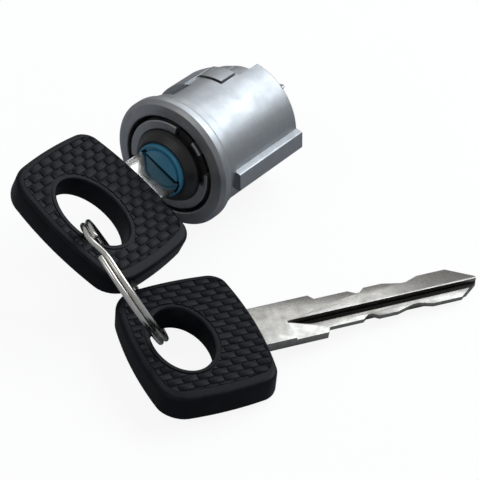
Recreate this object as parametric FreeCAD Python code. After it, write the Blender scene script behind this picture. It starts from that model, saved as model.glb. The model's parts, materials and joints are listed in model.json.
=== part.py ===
import FreeCAD, Part
import math
import os
from FreeCAD import Placement, Rotation, Vector

# Lock cylinder with its key pushed in, a split ring and the spare key, as they lie on a table.
# Lengths are in millimetres and angles in degrees.
# The lock frame has +X along the lock axis from the key bow to the rear, and +Z across the key's flat.
# Angles round the axis are counted from +Z towards -Y, which is clockwise as seen from the key.

# Key blade
BLADE_HALF_WIDTH = 3.9
BLADE_THICK = 2.04
BLADE_TIP_X = 45.3
TIP_START_X = 40.4
TIP_FLAT = 0.35
SHOULDER_HALF_WIDTH = 5.15
SHOULDER_END_X = 11.3
SHOULDER_SLOPE = 0.8
SHANK_START_X = -8.6
CUT_DEPTH = 1.0
CUT_FLATS = ((20.6, 21.4), (30.2, 31.4))
CUT_RAMPS = ((1.4, 1.2), (3.6, 2.8))
LEDGE_START_X = 4.7
LEDGE_DEPTH = 0.5
GROOVE_START_X = 5.3
GROOVE_RUNOUT = 4.7
GROOVE_INNER_Y = -0.25
GROOVE_WIDTH = 1.7
GROOVE_DEPTH = 1.3
EDGE_RELIEF_Y = -2.7
EDGE_RELIEF_DEPTH = 0.62

# Key bow
BOW_LEFT_X = -26.6
BOW_RIGHT_X = -1.8
BOW_HALF_WIDTH = 15.9
BOW_THICK = 5.4
BOW_SIDE_BULGE = 0.9
BOW_END_BULGE = 1.5
BOW_OUTER_CORNER_R = 4.0
BOW_INNER_CORNER_R = 2.6
BOW_EDGE_CHAMFER = 0.55
BOW_OFFSET_Y = -0.25
HOLE_X = -16.8
HOLE_HALF_LENGTH = 8.6
HOLE_HALF_WIDTH = 5.6
HOLE_END_R = 4.3
HOLE_EDGE_CHAMFER = 0.4
PANEL_LEFT_X = -24.9
PANEL_RIGHT_X = -3.5
PANEL_HALF_WIDTH = 14.0
PANEL_CORNER_R = 2.2
PANEL_HOLE_RIM = 0.9
PANEL_DEPTH = 0.25

# Housing, seen along the axis from the key side
FLANGE_FRONT_X = 8.2
FLANGE_THICK = 2.2
FLANGE_R = 13.9
FLANGE_FRONT_CHAMFER = 0.7
FLANGE_REAR_CHAMFER = 0.4
NECK_R = 12.4
NECK_LENGTH = 0.5
PILOT_R = 13.0
PILOT_LENGTH = 2.1
BARREL_R = 12.6
BARREL_REAR_X = 33.5
BARREL_REAR_CHAMFER = 0.3
MOUTH_R = 10.75
MOUTH_DEPTH = 6.3
SLEEVE_R = 9.85
SLEEVE_PROUD = 0.9
SLEEVE_WALL = 1.95
REAR_WALL = 2.5
CHANNEL_HALF_WIDTH = 3.4
CHANNEL_DEPTH = 1.7

# Guide rib along the barrel
RIB_ANGLE = 69.5
RIB_HALF_WIDTH = 2.1
RIB_HEIGHT = 1.5
RIB_EDGE_CHAMFER = 0.25

# Machined reliefs on the catch side of the barrel
FRONT_RELIEF_ANGLE = -66.0
FRONT_RELIEF_DEPTH = 1.15
FRONT_RELIEF_LENGTH = 8.6
REAR_RELIEF_R = 10.7
REAR_RELIEF_LENGTH = 5.2
REAR_RELIEF_ANGLES = (-128.0, -42.0)
STOP_LENGTH = 3.3
STOP_RELIEF_ANGLE = -20.0

# Retaining catch, a sprung block in a pocket of the barrel
CATCH_ANGLE = -32.5
CATCH_FRONT_X = 22.6
CATCH_LENGTH = 4.4
CATCH_HALF_WIDTH = 2.8
CATCH_HEIGHT = 2.7
CATCH_PROUD = 0.35
CATCH_TRAVEL = 0.9
CATCH_CLEARANCE = 0.3
CATCH_END_GAP = 0.5
CATCH_SPRING_R = 1.1
CATCH_SPRING_WIRE = 0.3
CATCH_SPRING_TURNS = 4
CATCH_SPRING_BORE_DEPTH = 1.7
CATCH_GUIDE_R = 0.5

# Black collar and its claws
COLLAR_PROUD = 0.5
COLLAR_WALL = 1.25
COLLAR_EDGE_R = 0.35
CLAW_ANGLES = (0.0, 43.0, 180.0, 223.0)
CLAW_SPAN = 24.0
CLAW_FRONT_X = 9.0
CLAW_LENGTH = 2.4
CLAW_CLEARANCE = 0.1

# Keyway cap on the front of the rotor
CAP_FRONT_X = 4.4
CAP_R = 6.4
CAP_RIM_WIDTH = 0.75
CAP_RIM_CHAMFER = 0.3
CAP_RING_GROOVE_WIDTH = 0.35
CAP_RING_GROOVE_DEPTH = 0.3

# Rotor
ROTOR_R = 7.5
JOURNAL_R = 5.8
RUN_FIT = 0.05
END_PLAY = 0.1
KEYWAY_CLEARANCE = 0.3
KEYWAY_SIDE_CLEARANCE = 0.2
TAIL_REAR_X = 39.5
TAIL_FLAT_HALF = 4.0
TAIL_FLAT_LENGTH = 3.4

# Wafers and their springs
WAFER_COUNT = 8
WAFER_PITCH = 2.1
WAFER_FRONT_GAP = 2.3
WAFER_THICK = 1.0
WAFER_HALF_HEIGHT = 3.0
WAFER_SLIDE_CLEARANCE = 0.06
WAFER_TRAVEL = 1.2
WAFER_SUNK = 0.1
WAFER_EAR_HEIGHT = 1.5
WAFER_EAR_LENGTH = 1.0
WAFER_SPRING_LENGTH = 3.6
WAFER_SPRING_R = 0.6
WAFER_SPRING_WIRE = 0.2
WAFER_SPRING_TURNS = 3
COIL_RUNS_PER_TURN = 8

# Washer and clip that hold the rotor in
WASHER_R = 8.8
WASHER_THICK = 1.0
CLIP_R = 7.7
CLIP_THICK = 0.8
CLIP_GROOVE_DEPTH = 0.8
CLIP_GAP_ANGLE = 70.0

# Split ring of two turns
RING_R = 13.13
RING_WIRE = 1.1
RING_WIRE_SIDES = 8
RING_TURN_GAP = 0.04
RING_STEP_ANGLE = 35.0
RING_CENTRE_IN_KEY = (-24.457, -15.648, 3.768)
RING_NORMAL = (-0.8319, -0.3633, -0.4195)
RING_START_ANGLE = 72.0
RING_OVERLAP = 15.0

# How the pieces lie on the table
LOCK_AZIMUTH = 51.87
LOCK_ROLL = 23.97
SPARE_YAW = 22.631
SPARE_PITCH = 3.6
SPARE_ROLL = 2.617
SPARE_FROM_RING = (26.065, -3.022)

X_AXIS = Vector(1, 0, 0)
Y_AXIS = Vector(0, 1, 0)
Z_AXIS = Vector(0, 0, 1)
ORIGIN = Vector(0, 0, 0)
OVERCUT = 1.0
FAR = 60.0

# Places that follow from the sizes above
FLANGE_REAR_X = FLANGE_FRONT_X + FLANGE_THICK
PILOT_FRONT_X = FLANGE_REAR_X + NECK_LENGTH
PILOT_REAR_X = PILOT_FRONT_X + PILOT_LENGTH
SLEEVE_FRONT_X = FLANGE_FRONT_X - SLEEVE_PROUD
SLEEVE_BORE_R = SLEEVE_R - SLEEVE_WALL
ROTOR_FRONT_X = SHOULDER_END_X + SHOULDER_SLOPE
COLLAR_REAR_X = ROTOR_FRONT_X - END_PLAY
COLLAR_FRONT_X = SLEEVE_FRONT_X - COLLAR_PROUD
COLLAR_R = SLEEVE_BORE_R - RUN_FIT
REAR_WALL_X = BARREL_REAR_X - REAR_WALL
ROTOR_REAR_X = REAR_WALL_X - END_PLAY
KEYWAY_HALF_WIDTH = BLADE_HALF_WIDTH + KEYWAY_SIDE_CLEARANCE
KEYWAY_HALF_HEIGHT = BLADE_THICK / 2 + KEYWAY_CLEARANCE
WASHER_REAR_X = BARREL_REAR_X + WASHER_THICK
CLIP_REAR_X = WASHER_REAR_X + CLIP_THICK
WAFER_TIP_R = ROTOR_R - WAFER_SUNK
WAFER_FIRST_X = ROTOR_FRONT_X + WAFER_FRONT_GAP
CATCH_TOP_R = BARREL_R + CATCH_PROUD
CATCH_FLOOR_R = CATCH_TOP_R - CATCH_HEIGHT
CATCH_POCKET_FLOOR_R = CATCH_FLOOR_R - CATCH_TRAVEL - CATCH_CLEARANCE
REST_SPAN = (BARREL_REAR_X - BARREL_REAR_CHAMFER) - (FLANGE_REAR_X - FLANGE_REAR_CHAMFER)
LOCK_DIP = math.degrees(math.atan2(FLANGE_R - BARREL_R, REST_SPAN))


def direction(angle):
    """Unit vector square to the lock axis at an angle round it."""
    turn = math.radians(angle)
    return Vector(0, -math.sin(turn), math.cos(turn))


def face_of(points):
    """Flat face inside a closed run of straight edges."""
    corners = [Vector(*point) for point in points]
    return Part.Face(Part.makePolygon(corners + corners[:1]))


def turned(profile):
    """Solid of revolution about the lock axis from points of (x, radius)."""
    return face_of([(x, 0, radius) for x, radius in profile]).revolve(ORIGIN, X_AXIS, 360)


def drum(front, rear, radius):
    """Cylinder about the lock axis."""
    return Part.makeCylinder(radius, rear - front, Vector(front, 0, 0), X_AXIS)


def tube(front, rear, outer, inner):
    """Round tube about the lock axis."""
    return drum(front, rear, outer).cut(drum(front - OVERCUT, rear + OVERCUT, inner))


def sector(front, rear, inner, outer, start, end):
    """Part of a tube between two angles round the lock axis."""
    corners = [(front, 0, inner), (rear, 0, inner), (rear, 0, outer), (front, 0, outer)]
    shape = face_of(corners).revolve(ORIGIN, X_AXIS, end - start)
    return shape.rotate(ORIGIN, X_AXIS, start)


def block(x_span, y_span, z_span):
    """Box between two limits on each axis."""
    size = [high - low for low, high in (x_span, y_span, z_span)]
    return Part.makeBox(*size, Vector(x_span[0], y_span[0], z_span[0]))


def radial_block(front, rear, half_width, low, high, angle):
    """Box that stands out from the lock axis at an angle round it."""
    return block((front, rear), (-half_width, half_width), (low, high)).rotate(ORIGIN, X_AXIS, angle)


def plate(points, low, high):
    """Straight-sided plate between two heights."""
    return face_of([(x, y, low) for x, y in points]).extrude(Vector(0, 0, high - low))


def coil(radius, wire, turns, length):
    """Open coil of square wire along +Z, bent in even short runs, with its end turns inside the length."""
    steps = turns * COIL_RUNS_PER_TURN
    half = wire / 2
    points = []
    for number in range(steps + 1):
        turn = 2 * math.pi * number / COIL_RUNS_PER_TURN
        height = half + (length - wire) * number / steps
        points.append(Vector(radius * math.cos(turn), radius * math.sin(turn), height))
    run = (points[1] - points[0]).normalize()
    side = run.cross(Z_AXIS).normalize() * half
    rise = side.cross(run).normalize() * half
    corners = [points[0] + side + rise, points[0] - side + rise, points[0] - side - rise, points[0] + side - rise]
    section = Part.makePolygon(corners + corners[:1])
    return Part.makePolygon(points).makePipeShell([section], True, True, 1)


def blade_edge():
    """Upper edge of the blade as points of (x, half width), from the bow to the tip."""
    full = BLADE_HALF_WIDTH
    points = [(SHANK_START_X, SHOULDER_HALF_WIDTH), (SHOULDER_END_X, SHOULDER_HALF_WIDTH)]
    points.append((SHOULDER_END_X + SHOULDER_SLOPE, full))
    for (start, end), (before, after) in zip(CUT_FLATS, CUT_RAMPS):
        points += [(start - before, full), (start, full - CUT_DEPTH), (end, full - CUT_DEPTH), (end + after, full)]
    points += [(TIP_START_X, full), (BLADE_TIP_X, TIP_FLAT)]
    return points


def groove_plan(width):
    """Plan of a milled groove whose start curves in from its inner wall."""
    inner, outer = GROOVE_INNER_Y, GROOVE_INNER_Y - width
    start = Vector(GROOVE_START_X, inner, 0)
    full = Vector(GROOVE_START_X + GROOVE_RUNOUT, outer, 0)
    middle = Vector(GROOVE_START_X + 0.4 * GROOVE_RUNOUT, inner - 0.62 * width, 0)
    run_in = Part.Arc(start, middle, full).toShape()
    far_outer, far_inner = Vector(FAR, outer, 0), Vector(FAR, inner, 0)
    return Part.Face(Part.Wire([run_in, *Part.makePolygon([full, far_outer, far_inner, start]).Edges]))


def key_blade():
    """Flat steel blade with its shoulders, edge cuts, ledge and groove."""
    top = BLADE_THICK / 2
    edge = blade_edge()
    outline = edge + [(x, -half) for x, half in reversed(edge)]
    blade = plate(outline, -top, top)
    ledge = block((LEDGE_START_X, FAR), (-FAR, GROOVE_INNER_Y), (top - LEDGE_DEPTH, top + OVERCUT))
    groove = groove_plan(GROOVE_WIDTH).extrude(Vector(0, 0, GROOVE_DEPTH + OVERCUT))
    groove.translate(Vector(0, 0, top - GROOVE_DEPTH))
    shoulder_x = SHOULDER_END_X + SHOULDER_SLOPE
    thin_edge = block((shoulder_x, FAR), (-FAR, EDGE_RELIEF_Y), (-top - OVERCUT, -top + EDGE_RELIEF_DEPTH))
    return blade.cut([ledge, groove, thin_edge])


def bow_outline(left, right, half_width):
    """Four-sided plan whose sides all bow outwards a little."""
    end, side = BOW_END_BULGE, BOW_SIDE_BULGE
    corners = [(left + end, -half_width + side), (right - end, -half_width + side),
               (right - end, half_width - side), (left + end, half_width - side)]
    middle_x = (left + right) / 2
    middles = [(middle_x, -half_width), (right, 0), (middle_x, half_width), (left, 0)]
    edges = []
    for number, middle in enumerate(middles):
        start, end = corners[number], corners[(number + 1) % 4]
        edges.append(Part.Arc(Vector(*start, 0), Vector(*middle, 0), Vector(*end, 0)).toShape())
    return Part.Face(Part.Wire(edges))


def upright_edges(shape, chosen):
    """Straight edges along Z whose place the test accepts."""
    found = []
    for edge in shape.Edges:
        if len(edge.Vertexes) == 2 and abs(edge.tangentAt(edge.FirstParameter).z) > 0.99:
            if chosen(edge.CenterOfMass):
                found.append(edge)
    return found


def bow_hole(rim, low, high):
    """Oval prism of four tangent arcs, for the hole or for a rim that stands round it."""
    long, short = HOLE_HALF_LENGTH + rim, HOLE_HALF_WIDTH + rim
    end_r = HOLE_END_R + rim
    side_r = (long ** 2 + short ** 2 - 2 * long * end_r) / (2 * (short - end_r))
    end_y, side_x = long - end_r, side_r - short
    split = math.atan2(end_y, side_x)
    touch_x, touch_y = side_r * math.cos(split) - side_x, side_r * math.sin(split)
    edges = []
    for sign in (1, -1):
        start, end = Vector(sign * touch_x, -sign * touch_y, 0), Vector(sign * touch_x, sign * touch_y, 0)
        edges.append(Part.Arc(start, Vector(sign * short, 0, 0), end).toShape())
        edges.append(Part.Arc(end, Vector(0, sign * long, 0), Vector(-sign * touch_x, sign * touch_y, 0)).toShape())
    solid = Part.Face(Part.Wire(edges)).extrude(Vector(0, 0, high - low))
    return solid.translate(Vector(HOLE_X, 0, low))


def bow_panel(low, high):
    """Shallow sunk panel round the hole, which carries the grip texture."""
    panel = bow_outline(PANEL_LEFT_X, PANEL_RIGHT_X, PANEL_HALF_WIDTH)
    solid = panel.extrude(Vector(0, 0, high - low))
    solid = solid.makeFillet(PANEL_CORNER_R, upright_edges(solid, lambda place: True))
    solid.translate(Vector(0, 0, low))
    return solid.cut(bow_hole(PANEL_HOLE_RIM, low - OVERCUT, high + OVERCUT))


def key_bow(blade):
    """Moulded bow round the shank of its blade."""
    half = BOW_THICK / 2
    solid = bow_outline(BOW_LEFT_X, BOW_RIGHT_X, BOW_HALF_WIDTH).extrude(Vector(0, 0, BOW_THICK))
    solid.translate(Vector(0, 0, -half))
    solid = solid.makeFillet(BOW_OUTER_CORNER_R, upright_edges(solid, lambda place: place.x < HOLE_X))
    solid = solid.makeFillet(BOW_INNER_CORNER_R, upright_edges(solid, lambda place: place.x > HOLE_X))
    rims = [edge for edge in solid.Edges if abs(abs(edge.CenterOfMass.z) - half) < 0.01]
    solid = solid.makeChamfer(BOW_EDGE_CHAMFER, rims)
    solid = solid.cut(bow_hole(0, -half - OVERCUT, half + OVERCUT))
    oval = bow_hole(HOLE_EDGE_CHAMFER, -half - OVERCUT, half + OVERCUT)
    rims = [edge for edge in solid.Edges if abs(abs(edge.CenterOfMass.z) - half) < 0.01
            and oval.isInside(edge.valueAt((edge.FirstParameter + edge.LastParameter) / 2), 0.01, True)]
    solid = solid.makeChamfer(HOLE_EDGE_CHAMFER, rims)
    upper = bow_panel(half - PANEL_DEPTH, half + OVERCUT)
    lower = bow_panel(-half - OVERCUT, -half + PANEL_DEPTH)
    solid = solid.cut([upper, lower])
    solid.translate(Vector(0, BOW_OFFSET_Y, 0))
    return solid.cut(blade)


def housing_body():
    """Cast body with its flange, pilot, front groove, inner sleeve and bores, turned in one profile."""
    groove_floor_x = FLANGE_FRONT_X + MOUTH_DEPTH
    bore_r = ROTOR_R + RUN_FIT
    journal_bore_r = JOURNAL_R + RUN_FIT
    edge = 0.25
    return turned([
        (SLEEVE_FRONT_X, SLEEVE_BORE_R + edge),
        (SLEEVE_FRONT_X, SLEEVE_R - edge),
        (SLEEVE_FRONT_X + edge, SLEEVE_R),
        (groove_floor_x, SLEEVE_R),
        (groove_floor_x, MOUTH_R),
        (FLANGE_FRONT_X + edge, MOUTH_R),
        (FLANGE_FRONT_X, MOUTH_R + edge),
        (FLANGE_FRONT_X, FLANGE_R - FLANGE_FRONT_CHAMFER),
        (FLANGE_FRONT_X + FLANGE_FRONT_CHAMFER, FLANGE_R),
        (FLANGE_REAR_X - FLANGE_REAR_CHAMFER, FLANGE_R),
        (FLANGE_REAR_X, FLANGE_R - FLANGE_REAR_CHAMFER),
        (FLANGE_REAR_X, NECK_R),
        (PILOT_FRONT_X, NECK_R),
        (PILOT_FRONT_X, PILOT_R),
        (PILOT_REAR_X, PILOT_R),
        (PILOT_REAR_X, BARREL_R),
        (BARREL_REAR_X - BARREL_REAR_CHAMFER, BARREL_R),
        (BARREL_REAR_X, BARREL_R - BARREL_REAR_CHAMFER),
        (BARREL_REAR_X, journal_bore_r),
        (REAR_WALL_X, journal_bore_r),
        (REAR_WALL_X, bore_r),
        (COLLAR_REAR_X, bore_r),
        (COLLAR_REAR_X, SLEEVE_BORE_R),
        (SLEEVE_FRONT_X + edge, SLEEVE_BORE_R),
    ])


def guide_rib():
    """Straight rib along the barrel, with its outer edges broken."""
    top = BARREL_R + RIB_HEIGHT
    rib = radial_block(PILOT_REAR_X, BARREL_REAR_X, RIB_HALF_WIDTH, BARREL_R - OVERCUT, top, 0)
    edges = [edge for edge in rib.Edges if edge.CenterOfMass.z > top - 0.01]
    return rib.makeChamfer(RIB_EDGE_CHAMFER, edges).rotate(ORIGIN, X_AXIS, RIB_ANGLE)


def catch_pocket():
    """Pocket for the retaining catch, with the guide peg of its spring left standing."""
    front = CATCH_FRONT_X - CATCH_CLEARANCE
    rear = CATCH_FRONT_X + CATCH_LENGTH + CATCH_END_GAP
    half = CATCH_HALF_WIDTH + CATCH_CLEARANCE
    pocket = block((front, rear), (-half, half), (CATCH_POCKET_FLOOR_R, BARREL_R + OVERCUT))
    peg_top = CATCH_POCKET_FLOOR_R + CATCH_CLEARANCE + CATCH_SPRING_BORE_DEPTH / 2
    peg = Part.makeCylinder(CATCH_GUIDE_R, peg_top - CATCH_POCKET_FLOOR_R, catch_spring_seat(), Z_AXIS)
    return pocket.cut(peg).rotate(ORIGIN, X_AXIS, CATCH_ANGLE)


def catch_spring_seat():
    """Foot of the catch spring before the catch is turned to its angle."""
    return Vector(CATCH_FRONT_X + CATCH_LENGTH / 2, 0, CATCH_POCKET_FLOOR_R)


def barrel_reliefs():
    """Flat in front of the catch, and the stepped relief behind it."""
    flat_r = BARREL_R - FRONT_RELIEF_DEPTH
    front = radial_block(PILOT_REAR_X, PILOT_REAR_X + FRONT_RELIEF_LENGTH, FAR / 4, flat_r, FAR / 2, FRONT_RELIEF_ANGLE)
    relief_x = BARREL_REAR_X - REAR_RELIEF_LENGTH
    low, high = REAR_RELIEF_ANGLES
    rear = sector(relief_x, BARREL_REAR_X + OVERCUT, REAR_RELIEF_R, FAR / 2, low, high)
    stop_x = relief_x + STOP_LENGTH
    stop = sector(stop_x, BARREL_REAR_X + OVERCUT, REAR_RELIEF_R, FAR / 2, high - OVERCUT, STOP_RELIEF_ANGLE)
    return [front, rear, stop]


def claw_span(number, slack):
    """Angles between which a claw, or the notch for it, lies."""
    half = CLAW_SPAN / 2 + slack
    return CLAW_ANGLES[number] - half, CLAW_ANGLES[number] + half


def wafer_channels():
    """Two grooves in the bore that take the wafers when the key is out."""
    front, rear = WAFER_FIRST_X - WAFER_THICK, ROTOR_REAR_X - END_PLAY
    reach = ROTOR_R + CHANNEL_DEPTH
    half = CHANNEL_HALF_WIDTH
    return block((front, rear), (-reach, reach), (-half, half))


def housing():
    """Cast housing with its rib, reliefs, catch pocket, claw notches and wafer channels."""
    body = housing_body().fuse(guide_rib())
    notches = []
    for number in range(len(CLAW_ANGLES)):
        start, end = claw_span(number, 1.0)
        rear = CLAW_FRONT_X + CLAW_LENGTH + CLAW_CLEARANCE
        notches.append(sector(SLEEVE_FRONT_X - OVERCUT, rear, SLEEVE_BORE_R - OVERCUT, MOUTH_R, start, end))
    body = body.cut(notches)
    body = body.cut(barrel_reliefs() + [catch_pocket(), wafer_channels()])
    return body.removeSplitter()


def retaining_catch():
    """Sprung block that stands a little proud of the barrel."""
    front, rear = CATCH_FRONT_X, CATCH_FRONT_X + CATCH_LENGTH
    shape = block((front, rear), (-CATCH_HALF_WIDTH, CATCH_HALF_WIDTH), (CATCH_FLOOR_R, FAR / 2))
    shape = shape.common(drum(front, rear, CATCH_TOP_R))
    bore_r = CATCH_SPRING_R + CATCH_SPRING_WIRE
    mouth = catch_spring_seat() + Vector(0, 0, CATCH_FLOOR_R - CATCH_POCKET_FLOOR_R - OVERCUT)
    bore = Part.makeCylinder(bore_r, CATCH_SPRING_BORE_DEPTH + OVERCUT, mouth, Z_AXIS)
    return shape.cut(bore).rotate(ORIGIN, X_AXIS, CATCH_ANGLE)


def catch_spring():
    """Coil between the pocket floor and the catch."""
    length = CATCH_FLOOR_R + CATCH_SPRING_BORE_DEPTH - CATCH_POCKET_FLOOR_R
    spring = coil(CATCH_SPRING_R, CATCH_SPRING_WIRE, CATCH_SPRING_TURNS, length)
    return spring.translate(catch_spring_seat()).rotate(ORIGIN, X_AXIS, CATCH_ANGLE)


def collar():
    """Black collar round the cap, with claws that reach out through the sleeve."""
    inner = COLLAR_R - COLLAR_WALL
    edge = COLLAR_EDGE_R
    shape = turned([
        (COLLAR_FRONT_X, inner + edge),
        (COLLAR_FRONT_X, COLLAR_R - edge),
        (COLLAR_FRONT_X + edge, COLLAR_R),
        (COLLAR_REAR_X, COLLAR_R),
        (COLLAR_REAR_X, inner),
        (COLLAR_FRONT_X + edge, inner),
    ])
    claws = []
    for number in range(len(CLAW_ANGLES)):
        start, end = claw_span(number, 0)
        outer = MOUTH_R - CLAW_CLEARANCE
        claws.append(sector(CLAW_FRONT_X, CLAW_FRONT_X + CLAW_LENGTH, COLLAR_R - COLLAR_WALL / 2, outer, start, end))
    return shape.fuse(claws).removeSplitter()


def keyway_cap():
    """Blue cap with a raised rim, a ring groove and the mouth of the keyway."""
    front, rim = CAP_FRONT_X, CAP_R - CAP_RIM_WIDTH
    groove = rim - CAP_RING_GROOVE_WIDTH
    depth = CAP_RING_GROOVE_DEPTH
    shape = turned([
        (front, 0), (front, groove), (front + depth, groove), (front + depth, rim), (front, rim),
        (front, CAP_R - CAP_RIM_CHAMFER), (front + CAP_RIM_CHAMFER, CAP_R), (ROTOR_FRONT_X, CAP_R), (ROTOR_FRONT_X, 0),
    ])
    half_width = SHOULDER_HALF_WIDTH + KEYWAY_SIDE_CLEARANCE
    slot = block((front - OVERCUT, ROTOR_FRONT_X + OVERCUT), (-half_width, half_width),
                 (-KEYWAY_HALF_HEIGHT, KEYWAY_HALF_HEIGHT))
    return shape.cut(slot)


def wafer_x(number):
    """Middle of a wafer along the lock axis."""
    return WAFER_FIRST_X + number * WAFER_PITCH


def wafer_side(number):
    """Way in which a wafer slides out, +1 for +Y and -1 for -Y."""
    return 1 if number % 2 == 0 else -1


def ear_spans(side):
    """Spans along Y of a wafer's ear, of its spring, and of the pocket that holds both."""
    ear = (-WAFER_EAR_LENGTH, 0.0)
    spring = (ear[0] - WAFER_SPRING_LENGTH, ear[0])
    pocket = (spring[0], ear[1] + WAFER_TRAVEL + WAFER_SLIDE_CLEARANCE)
    return [tuple(sorted((side * low, side * high))) for low, high in (ear, spring, pocket)]


def rotor():
    """Plug core with its journal, clip groove, driver tail, keyway, wafer slots and spring pockets."""
    groove_r = JOURNAL_R - CLIP_GROOVE_DEPTH
    core = turned([
        (ROTOR_FRONT_X, 0), (ROTOR_FRONT_X, ROTOR_R), (ROTOR_REAR_X, ROTOR_R), (ROTOR_REAR_X, JOURNAL_R),
        (WASHER_REAR_X, JOURNAL_R), (WASHER_REAR_X, groove_r), (CLIP_REAR_X, groove_r), (CLIP_REAR_X, JOURNAL_R),
        (TAIL_REAR_X, JOURNAL_R), (TAIL_REAR_X, 0),
    ])
    keyway = block((ROTOR_FRONT_X - OVERCUT, TAIL_REAR_X + OVERCUT), (-KEYWAY_HALF_WIDTH, KEYWAY_HALF_WIDTH),
                   (-KEYWAY_HALF_HEIGHT, KEYWAY_HALF_HEIGHT))
    tail = (TAIL_REAR_X - TAIL_FLAT_LENGTH, TAIL_REAR_X + OVERCUT)
    flats = [block(tail, (-FAR, FAR), (TAIL_FLAT_HALF, FAR)), block(tail, (-FAR, FAR), (-FAR, -TAIL_FLAT_HALF))]
    cuts = [keyway] + flats
    half = WAFER_THICK / 2 + WAFER_SLIDE_CLEARANCE
    height = WAFER_HALF_HEIGHT + WAFER_SLIDE_CLEARANCE
    pocket_half = WAFER_SPRING_R + WAFER_SPRING_WIRE
    for number in range(WAFER_COUNT):
        x = wafer_x(number)
        cuts.append(block((x - half, x + half), (-FAR, FAR), (-height, height)))
        pocket = ear_spans(wafer_side(number))[2]
        top = WAFER_HALF_HEIGHT + WAFER_EAR_HEIGHT + WAFER_SLIDE_CLEARANCE
        cuts.append(block((x - pocket_half, x + pocket_half), pocket, (WAFER_HALF_HEIGHT, top)))
    return core.cut(cuts)


def wafer(number):
    """Tumbler plate with its window for the blade and its ear for the spring."""
    x, side = wafer_x(number), wafer_side(number)
    span = (x - WAFER_THICK / 2, x + WAFER_THICK / 2)
    body = drum(*span, WAFER_TIP_R).common(block(span, (-FAR, FAR), (-WAFER_HALF_HEIGHT, WAFER_HALF_HEIGHT)))
    ear = ear_spans(side)[0]
    body = body.fuse(block(span, ear, (0, WAFER_HALF_HEIGHT + WAFER_EAR_HEIGHT)))
    near = BLADE_HALF_WIDTH + KEYWAY_SIDE_CLEARANCE
    window = sorted((side * near, -side * (near + WAFER_TRAVEL)))
    return body.cut(block((span[0] - OVERCUT, span[1] + OVERCUT), window, (-KEYWAY_HALF_HEIGHT, KEYWAY_HALF_HEIGHT)))


def wafer_springs():
    """One small coil for each wafer, lying in the rotor's pockets."""
    springs = []
    for number in range(WAFER_COUNT):
        low, high = ear_spans(wafer_side(number))[1]
        spring = coil(WAFER_SPRING_R, WAFER_SPRING_WIRE, WAFER_SPRING_TURNS, high - low)
        spring.rotate(ORIGIN, X_AXIS, -90)
        middle_z = WAFER_HALF_HEIGHT + WAFER_EAR_HEIGHT / 2
        springs.append(spring.translate(Vector(wafer_x(number), low, middle_z)))
    return Part.makeCompound(springs)


def thrust_washer():
    """Flat washer between the housing and the clip."""
    return tube(BARREL_REAR_X, WASHER_REAR_X, WASHER_R, JOURNAL_R + RUN_FIT)


def retaining_clip():
    """Open clip in the groove of the journal."""
    inner = JOURNAL_R - CLIP_GROOVE_DEPTH
    gap = CLIP_GAP_ANGLE / 2
    clip = sector(WASHER_REAR_X, CLIP_REAR_X, inner, CLIP_R, gap, 360 - gap)
    lug_r = (CLIP_R - inner) / 2
    for angle in (gap, -gap):
        centre = direction(angle) * (inner + lug_r) + Vector(WASHER_REAR_X, 0, 0)
        clip = clip.fuse(Part.makeCylinder(lug_r, CLIP_THICK, centre, X_AXIS))
    return clip.removeSplitter()


def tangent_arc(start, corner, end):
    """Arc from start to end that touches both sides of an even corner."""
    middle = (start + end) / 2
    half_chord = (end - start).Length / 2
    half_turn = math.atan2((corner - middle).Length, half_chord)
    crown = (corner - middle).normalize() * half_chord * math.tan(half_turn / 2)
    return Part.Arc(start, middle + crown, end).toShape()


def step_arcs(start, start_way, end, end_way):
    """Two equal-sided tangent arcs that lead from one place and direction to another."""
    span, ways = end - start, start_way + end_way
    spread = 2 * (1 - start_way.dot(end_way))
    along = span.dot(ways)
    reach = (math.sqrt(along ** 2 + spread * span.dot(span)) - along) / spread
    first, last = start + start_way * reach, end - end_way * reach
    joint = (first + last) / 2
    return [tangent_arc(start, first, joint), tangent_arc(joint, last, end)]


def split_ring():
    """Two flat turns of round wire side by side, joined by one short step, square to +Z."""
    rise = (RING_WIRE + RING_TURN_GAP) / 2
    flat = 360 - RING_STEP_ANGLE + RING_OVERLAP / 2
    step_end = flat + RING_STEP_ANGLE

    def at(angle, height):
        turn = math.radians(RING_START_ANGLE - angle)
        return Vector(RING_R * math.cos(turn), RING_R * math.sin(turn), height)

    def way(angle):
        return at(angle, 0).cross(Z_AXIS).normalize()

    def bend(start, end, height):
        return Part.Arc(at(start, height), at((start + end) / 2, height), at(end, height)).toShape()

    step = step_arcs(at(flat, rise), way(flat), at(step_end, -rise), way(step_end))
    edges = [bend(0, flat / 2, rise), bend(flat / 2, flat, rise), *step]
    edges += [bend(step_end, step_end + flat / 2, -rise), bend(step_end + flat / 2, step_end + flat, -rise)]
    outward = at(0, 0).normalize()
    corners = []
    for number in range(RING_WIRE_SIDES):
        turn = 2 * math.pi * (number + 0.5) / RING_WIRE_SIDES
        corners.append(at(0, rise) + (outward * math.cos(turn) + Z_AXIS * math.sin(turn)) * (RING_WIRE / 2))
    section = Part.makePolygon(corners + corners[:1])
    return Part.Wire(edges).makePipeShell([section], True, False)


def lock_placement():
    """Where the lock frame lies: the flange rim and the rear edge of the barrel touch the table."""
    dip = math.radians(LOCK_DIP)
    contact_x = FLANGE_REAR_X - FLANGE_REAR_CHAMFER
    height = FLANGE_R * math.cos(dip) + contact_x * math.sin(dip)
    turn = Rotation(Z_AXIS, LOCK_AZIMUTH) * Rotation(Y_AXIS, LOCK_DIP) * Rotation(X_AXIS, LOCK_ROLL)
    return Placement(Vector(0, 0, height), turn)


def ring_placement(lock):
    """Where the ring stands: through the key's hole and under the spare key's far side."""
    centre = lock.multVec(Vector(*RING_CENTRE_IN_KEY))
    return Placement(centre, Rotation(Z_AXIS, Vector(*RING_NORMAL)))


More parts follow.
